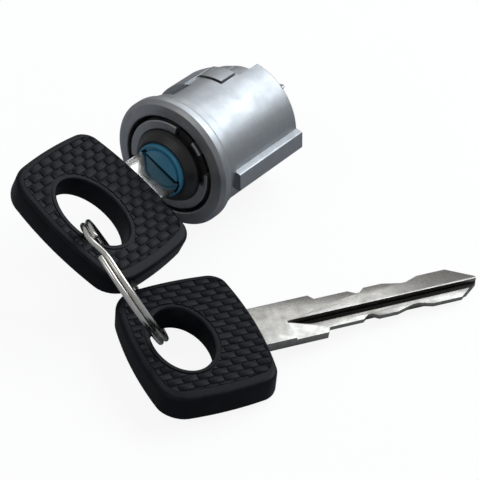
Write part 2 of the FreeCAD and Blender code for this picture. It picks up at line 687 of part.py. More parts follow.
def spare_placement(ring_centre):
    """Where the spare key lies: propped on the ring at its far side, tip and near corner on the table."""
    turn = Rotation(Z_AXIS, SPARE_YAW) * Rotation(Y_AXIS, SPARE_PITCH) * Rotation(X_AXIS, SPARE_ROLL)
    step_x, step_y = SPARE_FROM_RING
    return Placement(Vector(ring_centre.x + step_x, ring_centre.y + step_y, 0), turn)


def tight_box(shapes):
    """Smallest upright box round some shapes."""
    box = FreeCAD.BoundBox()
    for shape in shapes:
        box.add(shape.optimalBoundingBox(False, False))
    return box


def moved(shape, placement):
    """Copy of a shape carried by a placement."""
    copy = shape.copy()
    copy.Placement = placement.multiply(copy.Placement)
    return copy


def assembly():
    """All pieces by name, with the box of the whole standing centred on the origin."""
    blade = key_blade()
    bow = key_bow(blade)
    lock = lock_placement()
    ring = ring_placement(lock)
    local = {
        "housing": housing(),
        "retaining_catch": retaining_catch(),
        "catch_spring": catch_spring(),
        "locking_collar": collar(),
        "rotor": rotor(),
        "keyway_cap": keyway_cap(),
        "wafer_springs": wafer_springs(),
        "thrust_washer": thrust_washer(),
        "retaining_clip": retaining_clip(),
        "key_blade": blade,
        "key_bow": bow,
    }
    for number in range(WAFER_COUNT):
        local[f"wafer_{number + 1}"] = wafer(number)
    pieces = {name: moved(shape, lock) for name, shape in local.items()}
    pieces["split_ring"] = moved(split_ring(), ring)
    spare = spare_placement(ring.Base)
    lowest = tight_box([moved(shape, spare) for shape in (blade, bow)]).ZMin
    spare.Base = spare.Base + Vector(0, 0, -lowest)
    pieces["spare_key_blade"] = moved(blade, spare)
    pieces["spare_key_bow"] = moved(bow, spare)
    box = tight_box(pieces.values())
    shift = Placement(Vector(-box.Center.x, -box.Center.y, -box.ZMin), Rotation())
    return {name: moved(shape, shift) for name, shape in pieces.items()}


def main():
    """Write one STEP file for each piece."""
    os.makedirs("parts", exist_ok=True)
    for name, shape in assembly().items():
        shape.exportStep(f"parts/{name}.step")


if __name__ == "__main__":
    main()
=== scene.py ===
"""Ignition lock cylinder with its key pushed in, a split ring and the spare key."""
import json
import logging
import math
from dataclasses import dataclass
from enum import Enum
from typing import Iterable, Optional, Sequence, Union

import bpy
from bpy.types import Material, NodeSocket, NodeTree, Object
from mathutils import Matrix, Vector


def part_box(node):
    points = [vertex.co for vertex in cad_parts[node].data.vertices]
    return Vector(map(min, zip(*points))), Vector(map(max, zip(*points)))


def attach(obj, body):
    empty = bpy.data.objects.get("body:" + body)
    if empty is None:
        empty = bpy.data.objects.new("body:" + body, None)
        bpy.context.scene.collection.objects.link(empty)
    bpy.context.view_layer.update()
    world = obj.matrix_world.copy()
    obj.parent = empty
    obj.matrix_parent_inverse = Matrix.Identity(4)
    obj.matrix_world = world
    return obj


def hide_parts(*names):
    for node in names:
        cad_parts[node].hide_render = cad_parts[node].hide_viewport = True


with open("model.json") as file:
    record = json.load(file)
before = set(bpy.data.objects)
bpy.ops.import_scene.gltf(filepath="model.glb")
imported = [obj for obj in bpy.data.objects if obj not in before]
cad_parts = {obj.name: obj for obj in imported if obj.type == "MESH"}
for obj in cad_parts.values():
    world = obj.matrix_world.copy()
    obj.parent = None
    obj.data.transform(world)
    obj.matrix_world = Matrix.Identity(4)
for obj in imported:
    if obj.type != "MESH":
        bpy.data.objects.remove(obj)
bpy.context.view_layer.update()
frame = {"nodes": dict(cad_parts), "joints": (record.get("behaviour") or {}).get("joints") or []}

LOG = logging.getLogger("lock_cylinder")
MM = 0.001
ROUND_STEPS = 144
EASE_STEPS = 5
MERGE = 1e-4
CLAWS = (0.0, 43.0, 180.0, 223.0)
PAST = 1.0
FAR = 60.0
SPARE_KEY_TURN = (2.617, 3.6, 22.631)
WHITE = (1.0, 1.0, 1.0, 1.0)

Number = Union[int, float]
Point = tuple[float, float]


def joint(name: str) -> dict:
    """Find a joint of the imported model.

    Args:
        name: the joint's name.

    Returns:
        The joint's own entry.
    """
    return next(entry for entry in frame["joints"] if entry["name"] == name)


def lock_matrix() -> Matrix:
    """Work out the lock frame, +X along the axis to the rear and +Z across the key's flat.

    Returns:
        The matrix from millimetres in the lock frame to metres in the row frame.
    """
    along = Vector(joint("plug_turn")["axis"]).normalized()
    across = Vector(joint("wafer_1_slide")["axis"]).normalized()
    up = along.cross(across).normalized()
    turn = Matrix((along, up.cross(along), up)).transposed().to_4x4()
    return Matrix.Translation(Vector(joint("plug_turn")["pos_m"])) @ turn @ Matrix.Scale(MM, 4)


LOCK = lock_matrix()


class Join(Enum):
    """How one piece is combined with another."""

    CUT = "DIFFERENCE"
    ADD = "UNION"
    KEEP = "INTERSECT"


class Signal:
    """A socket of a shader, with the arithmetic that a finish needs."""

    def __init__(self, tree: "Tree", socket: NodeSocket) -> None:
        """Wrap a socket.

        Args:
            tree: the tree that owns the socket.
            socket: the output socket.
        """
        self.tree = tree
        self.socket = socket

    def math(self, operation: str, other: Union["Signal", Number]) -> "Signal":
        """Add one Math node.

        Args:
            operation: the node's operation.
            other: the second value.

        Returns:
            The result.
        """
        return self.tree.node("ShaderNodeMath", {"operation": operation}, {0: self, 1: other})

    def __add__(self, other: Union["Signal", Number]) -> "Signal":
        """Sum."""
        return self.math("ADD", other)

    def __mul__(self, other: Union["Signal", Number]) -> "Signal":
        """Product."""
        return self.math("MULTIPLY", other)

    __radd__ = __add__
    __rmul__ = __mul__

    def band(self, low: float, high: float, to_low: float = 0.0, to_high: float = 1.0) -> "Signal":
        """Map a range onto another, held at its ends.

        Args:
            low: start of the range.
            high: end of the range.
            to_low: result at the start.
            to_high: result at the end.

        Returns:
            The mapped value.
        """
        inputs = {"Value": self, "From Min": low, "From Max": high, "To Min": to_low, "To Max": to_high}
        return self.tree.node("ShaderNodeMapRange", {"clamp": True}, inputs)


class Tree:
    """A node tree while its nodes are being laid out."""

    def __init__(self, tree: NodeTree) -> None:
        """Take over a tree.

        Args:
            tree: the tree.
        """
        self.nodes, self.links = tree.nodes, tree.links

    def node(self, kind: str, settings: dict, inputs: dict, output: Union[int, str] = 0) -> Signal:
        """Add a node.

        Args:
            kind: the node's type.
            settings: its own settings.
            inputs: values or signals for its sockets.
            output: the socket that is wanted.

        Returns:
            The wanted output.
        """
        made = self.nodes.new(kind)
        for key, value in settings.items():
            setattr(made, key, value)
        for key, value in inputs.items():
            self.feed(made.inputs[key], value)
        return Signal(self, made.outputs[output])

    def feed(self, socket: NodeSocket, value: Union[Signal, Number, Sequence[float]]) -> None:
        """Set or link one input socket.

        Args:
            socket: the input.
            value: what goes into it.
        """
        if isinstance(value, Signal):
            self.links.new(value.socket, socket)
        else:
            socket.default_value = value

    def blend(self, factor: Union[Signal, float], first: object, second: object) -> Signal:
        """Mix two colours.

        Args:
            factor: share of the second.
            first: colour or signal.
            second: colour or signal.

        Returns:
            The mixed colour.
        """
        pair = [(*c, 1.0) if isinstance(c, tuple) else c for c in (first, second)]
        return self.node("ShaderNodeMix", {"data_type": "RGBA"}, {0: factor, 6: pair[0], 7: pair[1]}, 2)

    def camera_ray(self) -> Signal:
        """Tell the camera's own rays from all others.

        Returns:
            1 for a ray from the camera, else 0.
        """
        return self.node("ShaderNodeLightPath", {}, {}, "Is Camera Ray")

    def whiten(self, lit: NodeSocket, kind: str, share: Signal, end: str) -> None:
        """Show the camera white in place of a shader, wholly or in part.

        Args:
            lit: output of the shader that all other rays meet.
            kind: type of the white shader's node.
            share: share of white.
            end: name of the output node.
        """
        white = self.node(kind, {}, {"Color": WHITE, "Strength": 1.0})
        mixed = self.node("ShaderNodeMixShader", {}, {0: share, 1: Signal(self, lit), 2: white})
        self.feed(self.nodes[end].inputs["Surface"], mixed)


class Recipe(Tree):
    """One material while its nodes are being laid out."""

    def __init__(self, name: str, place: Matrix) -> None:
        """Start a material.

        Args:
            name: the material's name.
            place: the matrix of the frame, in millimetres, that its patterns follow.
        """
        self.material = bpy.data.materials.new(name)
        self.material.use_nodes = True
        super().__init__(self.material.node_tree)
        self.shader = self.nodes["Principled BSDF"]
        inputs = {"Vector": self.node("ShaderNodeTexCoord", {}, {}, "Object"), "Location": place.translation,
                  "Rotation": place.to_euler("XYZ"), "Scale": place.to_scale()}
        self.place = self.node("ShaderNodeMapping", {"vector_type": "TEXTURE"}, inputs)

    def axis(self, name: str) -> Signal:
        """Read one coordinate of the pattern frame, in millimetres.

        Args:
            name: "X", "Y" or "Z".

        Returns:
            The coordinate.
        """
        return self.node("ShaderNodeSeparateXYZ", {}, {"Vector": self.place}, name)

    def noise(self, scale: Union[float, Sequence[float]], detail: float = 2.0, rough: float = 0.5) -> Signal:
        """Add a noise pattern.

        Args:
            scale: features per millimetre, alike or along each axis.
            detail: layers of finer noise.
            rough: weight of the finer layers.

        Returns:
            The noise, about 0.5.
        """
        even = isinstance(scale, (int, float))
        vector = self.place if even else self.node(
            "ShaderNodeMapping", {"vector_type": "POINT"}, {"Vector": self.place, "Scale": tuple(scale)})
        inputs = {"Vector": vector, "Scale": scale if even else 1.0, "Detail": detail, "Roughness": rough}
        return self.node("ShaderNodeTexNoise", {}, inputs)

    def bump(self, *layers: tuple[Signal, float]) -> None:
        """Feed the normal from heights.

        Args:
            layers: heights, each with its depth in millimetres.
        """
        normal: Optional[Signal] = None
        for height, depth in layers:
            inputs: dict = {"Height": height, "Distance": depth * MM, "Strength": 1.0}
            if normal is not None:
                inputs["Normal"] = normal
            normal = self.node("ShaderNodeBump", {}, inputs)
        self.feed(self.shader.inputs["Normal"], normal)

    def finish(self, **values: object) -> Material:
        """Set the shader's own sockets.

        Args:
            values: socket names with underscores for spaces.

        Returns:
            The material.
        """
        for key, value in values.items():
            value = (*value, 1.0) if isinstance(value, tuple) and len(value) == 3 else value
            self.feed(self.shader.inputs[key.replace("_", " ")], value)
        return self.material


@dataclass(frozen=True)
class SatinZinc:
    """Die-cast zinc, blasted and lightly turned."""

    base: tuple = (0.375, 0.385, 0.395)
    stain: tuple = (0.30, 0.30, 0.31)
    sheen: tuple = (0.62, 0.66, 0.72)
    stain_share: float = 0.55
    sheen_share: float = 0.16
    rough: float = 0.42
    cloud_scale: float = 0.22
    streak_scale: tuple = (5.0, 0.22, 0.22)
    grain_scale: float = 7.0
    streak_depth: float = 0.010
    grain_depth: float = 0.02

    def make(self, place: Matrix) -> Material:
        """Lay out the finish.

        Args:
            place: the lock frame.

        Returns:
            The material.
        """
        recipe = Recipe("satin_zinc", place)
        cloud = recipe.noise(self.cloud_scale, 4.0, 0.6)
        streak = recipe.noise(self.streak_scale, 3.0, 0.65)
        grain = recipe.noise(self.grain_scale, 2.0, 0.6)
        colour = recipe.blend(cloud.band(0.42, 0.74, 0.0, self.stain_share), self.base, self.stain)
        colour = recipe.blend(streak.band(0.35, 0.7, 0.0, self.sheen_share), colour, self.sheen)
        rough = cloud.band(0.3, 0.7, self.rough - 0.06, self.rough + 0.08)
        rough = rough + streak.band(0.3, 0.7, -0.03, 0.03)
        recipe.bump((streak, self.streak_depth), (grain, self.grain_depth))
        return recipe.finish(Base_Color=colour, Roughness=rough, Metallic=1.0)


@dataclass(frozen=True)
class Moulding:
    """Moulded plastic with a fine skin."""

    name: str
    base: tuple
    tint: tuple
    rough: float
    grain: float
    depth: float
    specular: float = 0.5
    cloud_scale: float = 0.35

    def make(self, place: Matrix) -> Material:
        """Lay out the finish.

        Args:
            place: the frame of the piece.

        Returns:
            The material.
        """
        recipe = Recipe(self.name, place)
        cloud = recipe.noise(self.cloud_scale, 3.0, 0.6)
        grain = recipe.noise(self.grain, 2.0, 0.6)
        colour = recipe.blend(cloud.band(0.35, 0.7), self.base, self.tint)
        rough = cloud.band(0.3, 0.7, self.rough - 0.05, self.rough + 0.06)
        recipe.bump((grain, self.depth))
        recipe.shader.inputs["Specular IOR Level"].default_value = self.specular
        return recipe.finish(Base_Color=colour, Roughness=rough)


@dataclass(frozen=True)
class Plated:
    """Plated or drawn metal with fine scratches; groove holds the y and z limits of the painted shade laid
    in a key's groove.
    """

    name: str
    base: tuple
    stain: tuple
    rough: float
    streaks: tuple = (0.6, 6.0, 6.0)
    stain_share: float = 0.5
    groove: Optional[tuple] = None
    # Tone and greatest share of the painted shade in the groove.
    groove_painted_shade: tuple = (0.012, 0.011, 0.010)
    groove_shade_share: float = 0.93
    cloud_scale: float = 0.4
    spot_scale: float = 2.4
    streak_depth: float = 0.006
    spot_depth: float = 0.004

    def make(self, place: Matrix) -> Material:
        """Lay out the finish.

        Args:
            place: the frame of the piece.

        Returns:
            The material.
        """
        recipe = Recipe(self.name, place)
        cloud = recipe.noise(self.cloud_scale, 4.0, 0.65)
        streak = recipe.noise(self.streaks, 3.0, 0.7)
        spots = recipe.noise(self.spot_scale, 3.0, 0.7)
        share = cloud.band(0.45, 0.72, 0.0, self.stain_share)
        share = share + spots.band(0.56, 0.7, 0.0, 0.5 * self.stain_share)
        colour = recipe.blend(share, self.base, self.stain)
        # Painted shade: the base colour is darkened over the groove's floor and walls, where its shadow
        # falls.
        if self.groove:
            left, right, low, high = self.groove
            across, up = recipe.axis("Y"), recipe.axis("Z")
            inside = across.band(left - 0.3, left - 0.1) * across.band(right + 0.3, right + 0.1)
            inside = inside * up.band(high, high - 0.5) * up.band(low - 0.3, low - 0.1)
            colour = recipe.blend(inside.band(0.0, 1.0, 0.0, self.groove_shade_share), colour, self.groove_painted_shade)
        rough = cloud.band(0.3, 0.7, self.rough - 0.05, self.rough + 0.07)
        rough = rough + streak.band(0.3, 0.7, -0.05, 0.05)
        recipe.bump((streak, self.streak_depth), (spots, self.spot_depth))
        return recipe.finish(Base_Color=colour, Roughness=rough, Metallic=1.0)


# Y and z limits of the painted shade in the key's groove.
GROOVE_SHADE_LIMITS = (-1.95, -0.25, -0.28, 0.52)
BLACK_COLLAR = Moulding("black_collar", (0.012, 0.012, 0.013), (0.02, 0.018, 0.017), 0.34, 6.0, 0.01)
BLUE_CAP = Moulding("blue_cap", (0.035, 0.20, 0.33), (0.05, 0.26, 0.42), 0.36, 3.0, 0.03)
BLACK_GRIP = Moulding("black_grip", (0.003, 0.0034, 0.0044), (0.006, 0.0075, 0.011), 0.42, 9.0, 0.012, 0.12)
# One nickel plating in two copies: the spare key's copy is darkened, painted shade, and the copy for the key
# in the lock is lighter, painted light; their roughness differs too.
NICKEL_SHADED_COPY = Plated("nickel_shaded_copy", (0.34, 0.325, 0.30), (0.15, 0.135, 0.115), 0.3, groove=GROOVE_SHADE_LIMITS)
NICKEL_LIT_COPY = Plated("nickel_lit_copy", (0.64, 0.63, 0.60), (0.44, 0.42, 0.38), 0.14, groove=GROOVE_SHADE_LIMITS)
BRIGHT_WIRE = Plated("bright_wire", (0.80, 0.78, 0.74), (0.40, 0.33, 0.25), 0.16, (1.0, 1.0, 1.0), 0.35)
TURNED_BRASS = Plated("turned_brass", (0.70, 0.52, 0.25), (0.40, 0.28, 0.12), 0.3, (6.0, 0.3, 0.3))
SPRING_STEEL = Plated("spring_steel", (0.50, 0.51, 0.53), (0.30, 0.29, 0.28), 0.3)


class Bench:
    """Modelling steps by operators, in millimetres, shared by every piece."""

    @staticmethod
    def deselect() -> None:
        """Leave edit mode and clear the selection."""
        if bpy.context.object is not None and bpy.context.object.mode != "OBJECT":
            bpy.ops.object.mode_set(mode="OBJECT")
        bpy.ops.object.select_all(action="DESELECT")

    @staticmethod
    def choose(*pieces: Object) -> None:
        """Select pieces, the first as the active one.

        Args:
            pieces: the pieces.
        """
        Bench.deselect()
        for piece in pieces:
            piece.select_set(True)
        bpy.context.view_layer.objects.active = pieces[0]

    @staticmethod
    def edit(piece: Object) -> None:
        """Enter edit mode with all of a piece selected.

        Args:
            piece: the piece.
        """
        Bench.choose(piece)
        bpy.ops.object.mode_set(mode="EDIT")
        bpy.ops.mesh.select_all(action="SELECT")

    @staticmethod
    def close() -> None:
        """Merge doubles, turn faces outwards and leave edit mode."""
        bpy.ops.mesh.select_all(action="SELECT")
        bpy.ops.mesh.remove_doubles(threshold=MERGE)
        bpy.ops.mesh.normals_make_consistent(inside=False)
        bpy.ops.object.mode_set(mode="OBJECT")

    @staticmethod
    def outline(name: str, corners: Sequence[Vector], filled: bool) -> Object:
        """Add a circle and move its corners onto an outline.

        Args:
            name: the piece's name.
            corners: the outline's corners.
            filled: whether the outline is a face.

        Returns:
            The outline.
        """
        Bench.deselect()
        bpy.ops.mesh.primitive_circle_add(vertices=len(corners), fill_type="NGON" if filled else "NOTHING")
        piece = bpy.context.object
        piece.name = piece.data.name = name
        for vertex, corner in zip(piece.data.vertices, corners):
            vertex.co = corner
        return piece

    @staticmethod
    def lathe(name: str, profile: Sequence[Point]) -> Object:
        """Spin a closed profile about +X.

        Args:
            name: the piece's name.
            profile: points of (x, radius).

        Returns:
            The turned piece.
        """
        piece = Bench.outline(name, [Vector((x, 0.0, radius)) for x, radius in profile], False)
        Bench.edit(piece)
        bpy.ops.mesh.spin(steps=ROUND_STEPS, angle=2 * math.pi, center=(0, 0, 0), axis=(1, 0, 0))
        Bench.close()
        return piece

    @staticmethod
    def prism(name: str, plan: Sequence[Point], low: float, high: float) -> Object:
        """Extrude a plan along +Z.

        Args:
            name: the piece's name.
            plan: points of (x, y).
            low: lower height.
            high: upper height.

        Returns:
            The prism.
        """
        piece = Bench.outline(name, [Vector((x, y, low)) for x, y in plan], True)
        Bench.edit(piece)
        bpy.ops.mesh.extrude_region_move(TRANSFORM_OT_translate={"value": (0, 0, high - low)})
        Bench.close()
        return piece

    @staticmethod
    def bar(name: str, section: Sequence[Point], front: float, rear: float) -> Object:
        """Extrude a section along +X.

        Args:
            name: the piece's name.
            section: points of (y, z).
            front: first end.
            rear: second end.

        Returns:
            The bar.
        """
        piece = Bench.outline(name, [Vector((front, y, z)) for y, z in section], True)
        Bench.edit(piece)
        bpy.ops.mesh.extrude_region_move(TRANSFORM_OT_translate={"value": (rear - front, 0, 0)})
        Bench.close()
        return piece

    @staticmethod
    def block(name: str, low: Sequence[float], high: Sequence[float]) -> Object:
        """Add a cutter between two corners.

        Args:
            name: the piece's name.
            low: lowest corner.
            high: highest corner.

        Returns:
            The block.
        """
        plan = [(low[0], low[1]), (high[0], low[1]), (high[0], high[1]), (low[0], high[1])]
        return Bench.prism(name, plan, low[2], high[2])

    @staticmethod
    def modify(piece: Object, kind: str, **settings: object) -> None:
        """Add a modifier and apply it.

        Args:
            piece: the piece.
            kind: the modifier's type.
            settings: its settings.
        """
        Bench.choose(piece)
        bpy.ops.object.modifier_add(type=kind)
        modifier = piece.modifiers[-1]
        for key, value in settings.items():
            setattr(modifier, key, value)
        bpy.ops.object.modifier_apply(modifier=modifier.name)

    @staticmethod
    def combine(piece: Object, others: Iterable[Object], how: Join = Join.CUT) -> None:
        """Cut with, add or keep within other pieces, which are used up.

        Args:
            piece: the piece that stays.
            others: the other pieces.
            how: what is done with them.
        """
        for other in others:
            Bench.modify(piece, "BOOLEAN", operation=how.value, solver="EXACT", object=other)
            bpy.data.objects.remove(other)

    @staticmethod
    def soften(piece: Object, width: float, segments: int = 2, angle: float = 35.0) -> None:
        """Round the sharp edges.

        Args:
            piece: the piece.
            width: width of the rounding.
            segments: faces across it.
            angle: least angle of an edge that is rounded, in degrees.
        """
        Bench.modify(piece, "BEVEL", width=width, segments=segments, limit_method="ANGLE",
                     angle_limit=math.radians(angle), use_clamp_overlap=True)

    @staticmethod
    def round_end(piece: Object, x: float, least: float, width: float, segments: int) -> None:
        """Round the outer edges of a bar's end.

        Args:
            piece: the bar.
            x: where its end lies.
            least: least distance from the axis of an edge that is rounded.
            width: width of the rounding.
            segments: faces across it.
        """
        Bench.edit(piece)
        bpy.ops.mesh.select_all(action="DESELECT")
        bpy.ops.object.mode_set(mode="OBJECT")
        for edge in piece.data.edges:
            ends = [piece.data.vertices[number].co for number in edge.vertices]
            edge.select = all(abs(end.x - x) < 0.01 and math.hypot(end.y, end.z) > least for end in ends)
        bpy.ops.object.mode_set(mode="EDIT")
        bpy.ops.mesh.select_mode(type="EDGE")
        bpy.ops.mesh.bevel(offset=width, offset_type="OFFSET", segments=segments, clamp_overlap=False)
        bpy.ops.mesh.select_mode(type="VERT")
        Bench.close()

    @staticmethod
    def join(pieces: Sequence[Object]) -> Object:
        """Join pieces into the first.

        Args:
            pieces: the pieces.

        Returns:
            The first piece.
        """
        Bench.choose(*pieces)
        bpy.ops.object.join()
        return bpy.context.object

    @staticmethod
    def copy(piece: Object, name: str) -> Object:
        """Copy a piece with a mesh of its own.

        Args:
            piece: the piece.
            name: the copy's name.

        Returns:
            The copy.
        """
        Bench.choose(piece)
        bpy.ops.object.duplicate(linked=False)
        made = bpy.context.object
        made.name = made.data.name = name
        return made

    @staticmethod
    def settle(piece: Object, place: Matrix, material: Material, smooth: float = 32.0) -> Object:
        """Put a finished piece in the row frame, shade it and dress it.

        Args:
            piece: the piece.
            place: its matrix.
            material: its finish.
            smooth: greatest angle that is shaded smooth, in degrees.

        Returns:
            The piece.
        """
        piece.data.transform(piece.matrix_world)
        piece.matrix_world = Matrix.Identity(4)
        piece.data.transform(place)
        piece.data.update()
        Bench.choose(piece)
        bpy.ops.object.shade_smooth_by_angle(angle=math.radians(smooth))
        piece.data.materials.clear()
        piece.data.materials.append(material)
        return piece


def polar(radius: float, angle: float) -> Point:
    """Place a point round the lock axis.

    Args:
        radius: distance from the axis.
        angle: degrees from +Z towards -Y.

    Returns:
        Its (y, z).
    """
    turn = math.radians(angle)
    return -radius * math.sin(turn), radius * math.cos(turn)


def arc(radius: float, start: float, end: float, steps: int) -> list[Point]:
    """Run points round the lock axis.

    Args:
        radius: distance from the axis.
        start: first angle in degrees.
        end: last angle in degrees.
        steps: runs between them.

    Returns:
        Points of (y, z).
    """
    return [polar(radius, start + (end - start) * step / steps) for step in range(steps + 1)]


def ring_part(inner: float, outer: float, start: float, end: float) -> list[Point]:
    """Outline a part of a ring round the lock axis.

    Args:
        inner: inner radius.
        outer: outer radius.
        start: first angle in degrees.
        end: last angle in degrees.

    Returns:
        Points of (y, z).
    """
    steps = max(2, round(abs(end - start) / 2.5))
    return arc(outer, start, end, steps) + arc(inner, end, start, steps)


def eased(corners: Sequence[tuple[float, float, float]]) -> list[Point]:
    """Round the corners of an outline.

    Args:
        corners: points with the radius of each corner, 0 for a sharp one.

    Returns:
        The rounded outline.
    """
    made: list[Point] = []
    count = len(corners)
    for number, (x, y, radius) in enumerate(corners):
        spot = Vector((x, y))
        before = Vector(corners[number - 1][:2]) - spot
        after = Vector(corners[(number + 1) % count][:2]) - spot
        if radius <= 0:
            made.append((x, y))
            continue
        half = before.angle(after) / 2
        reach = min(radius / math.tan(half), before.length * 0.49, after.length * 0.49)
        start, end = spot + before.normalized() * reach, spot + after.normalized() * reach
        for step in range(EASE_STEPS + 1):
            share = step / EASE_STEPS
            point = start * (1 - share) ** 2 + spot * 2 * share * (1 - share) + end * share ** 2
            made.append((point.x, point.y))
    return made


@dataclass
class Housing:
    """Cast housing: flange, front groove, sleeve, pilot, barrel, rib and the raised pads."""

    flange_r: float = 13.9
    flange_front: float = 7.75
    flange_rear: float = 10.4
    flange_chamfer: Point = (0.75, 0.8)
    dish: float = 0.4
    neck_r: float = 12.4
    pilot_front: float = 10.9
    pilot_rear: float = 13.0
    pilot_r: float = 13.0
    barrel_r: float = 12.6
    rear: float = 33.5
    mouth_r: float = 10.75
    sleeve_r: float = 9.85
    sleeve_bore: float = 7.9
    sleeve_front: float = 7.3
    groove_floor: float = 14.5
    bore_r: float = 7.55
    journal_r: float = 5.85
    rear_wall: float = 31.0
    collar_seat: float = 12.0
    claw_span: float = 26.0
    claw_rear: float = 11.5
    notch_root: float = 0.6
    notch_rim: float = 0.02
    rib_foot: tuple = (11.8, 59.6, 79.4)
    rib_ends: Point = (12.8, 33.45)
    rib_edges: tuple = ((-12.41, 6.62, 0.35), (-14.2, 3.2, 0.35))
    pad: tuple = (9.0, 12.95, -112.0, -46.5)
    pad_ends: Point = (18.2, 27.4)
    pad_rounding: tuple = (12.0, 1.7, 5)
    pad_edge: float = 0.16
    low_block: tuple = (8.6, 11.25, -108.0, -37.0)
    low_block_ends: Point = (27.0, 32.1)
    low_block_rounding: tuple = (10.6, 1.0, 4)
    low_block_edge: float = 0.14
    relief_rear: float = 18.6
    relief_height: float = 11.45
    relief_turn: float = -66.0
    relief_reach: Point = (18.0, 20.0)
    rear_relief: tuple = (10.3, 16.0, -122.0, -15.5)
    rear_relief_front: float = 27.4
    catch_slot: tuple = (8.2, 16.0, -46.0, -18.2)
    catch_slot_ends: Point = (22.2, 27.6)
    step_r: float = 9.2
    step_span: Point = (-13.0, 73.0)

    def profile(self) -> list[Point]:
        """Draw the section that is turned.

        Returns:
            Points of (x, radius).
        """
        face = self.flange_front - self.dish
        slope, drop = self.flange_chamfer
        corners = [
            (self.sleeve_front, self.sleeve_bore, 0.25), (self.sleeve_front, self.sleeve_r, 0.35),
            (self.groove_floor, self.sleeve_r, 0.2), (self.groove_floor, self.mouth_r, 0.2),
            (face, self.mouth_r, 0.35), (self.flange_front, self.flange_r - drop, 0.3),
            (self.flange_front + slope, self.flange_r, 0.3), (self.flange_rear, self.flange_r, 0.45),
            (self.flange_rear, self.neck_r, 0.1), (self.pilot_front, self.neck_r, 0.1),
            (self.pilot_front, self.pilot_r, 0.2), (self.pilot_rear, self.pilot_r, 0.16),
            (self.pilot_rear, self.barrel_r, 0.06), (self.rear, self.barrel_r, 0.4),
            (self.rear, self.journal_r, 0.2), (self.rear_wall, self.journal_r, 0.0),
            (self.rear_wall, self.bore_r, 0.0), (self.collar_seat, self.bore_r, 0.0),
            (self.collar_seat, self.sleeve_bore, 0.0),
        ]
        return eased(corners)

    def rib(self) -> Object:
        """Make the straight rib.

        Returns:
            The rib.
        """
        radius, start, end = self.rib_foot
        section = eased([(*polar(radius, start), 0), *self.rib_edges, (*polar(radius, end), 0)])
        return Bench.bar("rib", section, *self.rib_ends)

    def pads(self) -> list[Object]:
        """Make the raised pad and the lower block behind it.

        Returns:
            Both pads.
        """
        pad = Bench.bar("pad", ring_part(*self.pad), *self.pad_ends)
        Bench.round_end(pad, self.pad_ends[1], *self.pad_rounding)
        Bench.soften(pad, self.pad_edge)
        low = Bench.bar("low_block", ring_part(*self.low_block), *self.low_block_ends)
        Bench.round_end(low, self.low_block_ends[1], *self.low_block_rounding)
        Bench.soften(low, self.low_block_edge)
        return [pad, low]

    def cutters(self) -> list[Object]:
        """Make what is cut from the turned body.

        Returns:
            The cutters.
        """
        flat = Bench.block("relief", (self.pilot_rear, -self.relief_reach[0], self.relief_height),
                           (self.relief_rear, *self.relief_reach))
        flat.data.transform(Matrix.Rotation(math.radians(self.relief_turn), 4, "X"))
        end = self.rear + PAST
        rear = Bench.bar("rear_relief", ring_part(*self.rear_relief), self.rear_relief_front, end)
        made = [flat, rear, Bench.bar("catch_slot", ring_part(*self.catch_slot), *self.catch_slot_ends)]
        root, front = self.sleeve_bore - self.notch_root, self.sleeve_front - PAST
        half = self.claw_span / 2
        for angle in CLAWS:
            section = ring_part(root, self.mouth_r - self.notch_rim, angle - half, angle + half)
            made.append(Bench.bar("claw_notch", section, front, self.claw_rear))
        section = ring_part(root, self.step_r, *self.step_span)
        made.append(Bench.bar("step_notch", section, front, self.claw_rear))
        return made

    def build(self, zinc: Material) -> Object:
        """Model and dress the housing.

        Args:
            zinc: its finish.

        Returns:
            The piece.
        """
        body = Bench.lathe("housing_skin", self.profile())
        Bench.combine(body, self.cutters())
        Bench.combine(body, [self.rib(), *self.pads()], Join.ADD)
        return Bench.settle(body, LOCK, zinc)


